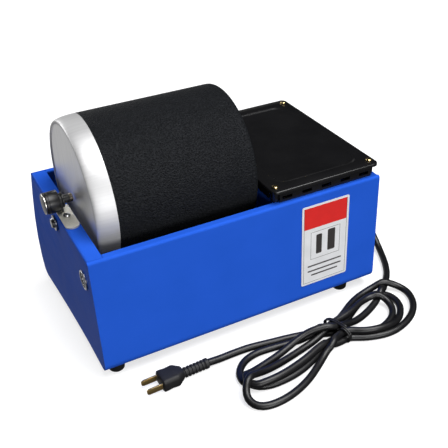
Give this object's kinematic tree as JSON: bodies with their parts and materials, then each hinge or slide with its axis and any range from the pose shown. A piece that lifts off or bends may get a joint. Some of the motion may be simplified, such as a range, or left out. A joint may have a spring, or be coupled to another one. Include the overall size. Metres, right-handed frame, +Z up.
{
  "type": "rotary rock tumbler",
  "caption": "Bench rotary tumbler: a covered barrel with a metal cap lies on two rollers in a sheet-metal chassis, driven by a belt from a motor under a vented cover.",
  "frame": {"origin": "on the standing surface, under the middle of the machine without its mains lead", "axes": "+X from the end stop to the motor end, +Y from the labelled front panel to the back panel, +Z up"},
  "size_m": [0.3489, 0.2855, 0.2145],
  "materials": {
    "blue_paint": "smooth gloss blue powder coat",
    "black_paint": "gloss black paint",
    "leatherette": "black fine-grained covering",
    "brushed_cap": "brushed and polished",
    "bright_steel": "turned and plated",
    "brass": "plain",
    "zinc_bracket": "satin zinc plate",
    "black_rubber": "matte black",
    "grey_rubber": "matte grey",
    "black_plastic": "satin black",
    "white_plastic": "natural nylon",
    "motor_iron": "bare laminations",
    "label_film": "printed film, plain panels only"
  },
  "bodies": {
    "chassis": {"chassis_wrap": "blue_paint", "left_end_plate": "blue_paint", "right_end_plate": "blue_paint", "bulkhead": "blue_paint", "motor_cover": "black_paint", "cover_post_front_left": "black_paint", "cover_post_front_right": "black_paint", "cover_post_back_left": "black_paint", "cover_post_back_right": "black_paint", "foot_screw_front_left": "bright_steel", "foot_screw_front_right": "bright_steel", "foot_screw_back_left": "bright_steel", "foot_screw_back_right": "bright_steel", "drive_bearing_left": "bright_steel", "drive_bearing_right": "bright_steel", "idler_bearing_left": "bright_steel", "idler_bearing_right": "bright_steel", "motor_bracket": "bright_steel", "stop_foot_screw": "bright_steel", "side_bolt": "bright_steel", "stop_end_disc": "bright_steel", "cover_screw_front_left": "brass", "cover_screw_front_right": "brass", "cover_screw_back_left": "brass", "cover_screw_back_right": "brass", "plug_blade_near": "brass", "plug_blade_far": "brass", "stop_bracket": "zinc_bracket", "stop_stiffener": "zinc_bracket", "foot_front_left": "black_rubber", "foot_front_right": "black_rubber", "foot_back_left": "black_rubber", "foot_back_right": "black_rubber", "drive_belt": "black_rubber", "cord_gland": "black_rubber", "cord_lead": "black_rubber", "cord_hank": "black_rubber", "cord_tail": "black_rubber", "plug_boot": "black_rubber", "plug_body": "black_rubber", "stop_sleeve": "black_plastic", "stop_bolt": "black_plastic", "switch_housing": "black_plastic", "cord_tie": "black_plastic", "motor_body": "motor_iron", "front_label": "label_film"},
    "barrel": {"barrel_shell": "black_plastic", "barrel_cover": "leatherette", "barrel_liner": "grey_rubber", "lid_cap": "brushed_cap", "lid_seal": "grey_rubber"},
    "drive_roller": {"drive_shaft": "bright_steel", "drive_roller_sleeve": "black_rubber", "drive_pulley": "bright_steel"},
    "idler_roller": {"idler_shaft": "bright_steel", "idler_roller_sleeve": "black_rubber"},
    "rotor": {"motor_shaft": "bright_steel", "motor_pulley": "bright_steel", "cooling_fan": "white_plastic"},
    "rocker": {"switch_rocker": "black_plastic"}
  },
  "joints": [
    {"name": "barrel_spin", "type": "hinge", "parent": "chassis", "child": "barrel", "pos_m": [-0.04728, 0.00025, 0.1455], "axis": [1, 0, 0], "continuous": true},
    {"name": "drive_roller_spin", "type": "hinge", "parent": "chassis", "child": "drive_roller", "pos_m": [-0.04728, -0.06875, 0.10064], "axis": [1, 0, 0], "continuous": true},
    {"name": "idler_roller_spin", "type": "hinge", "parent": "chassis", "child": "idler_roller", "pos_m": [-0.04728, 0.06925, 0.10064], "axis": [1, 0, 0], "continuous": true},
    {"name": "rotor_spin", "type": "hinge", "parent": "chassis", "child": "rotor", "pos_m": [0.09372, 0.01925, 0.061], "axis": [1, 0, 0], "continuous": true},
    {"name": "switch_rock", "type": "hinge", "parent": "chassis", "child": "rocker", "pos_m": [0.14672, 0.03925, 0.059], "axis": [0, 1, 0], "range_deg": [0, 16]}
  ],
  "couplings": [
    {"joint": "drive_roller_spin", "follows": "barrel_spin", "ratio": -5.3077},
    {"joint": "idler_roller_spin", "follows": "barrel_spin", "ratio": -5.3077},
    {"joint": "rotor_spin", "follows": "barrel_spin", "ratio": -13.113}
  ]
}
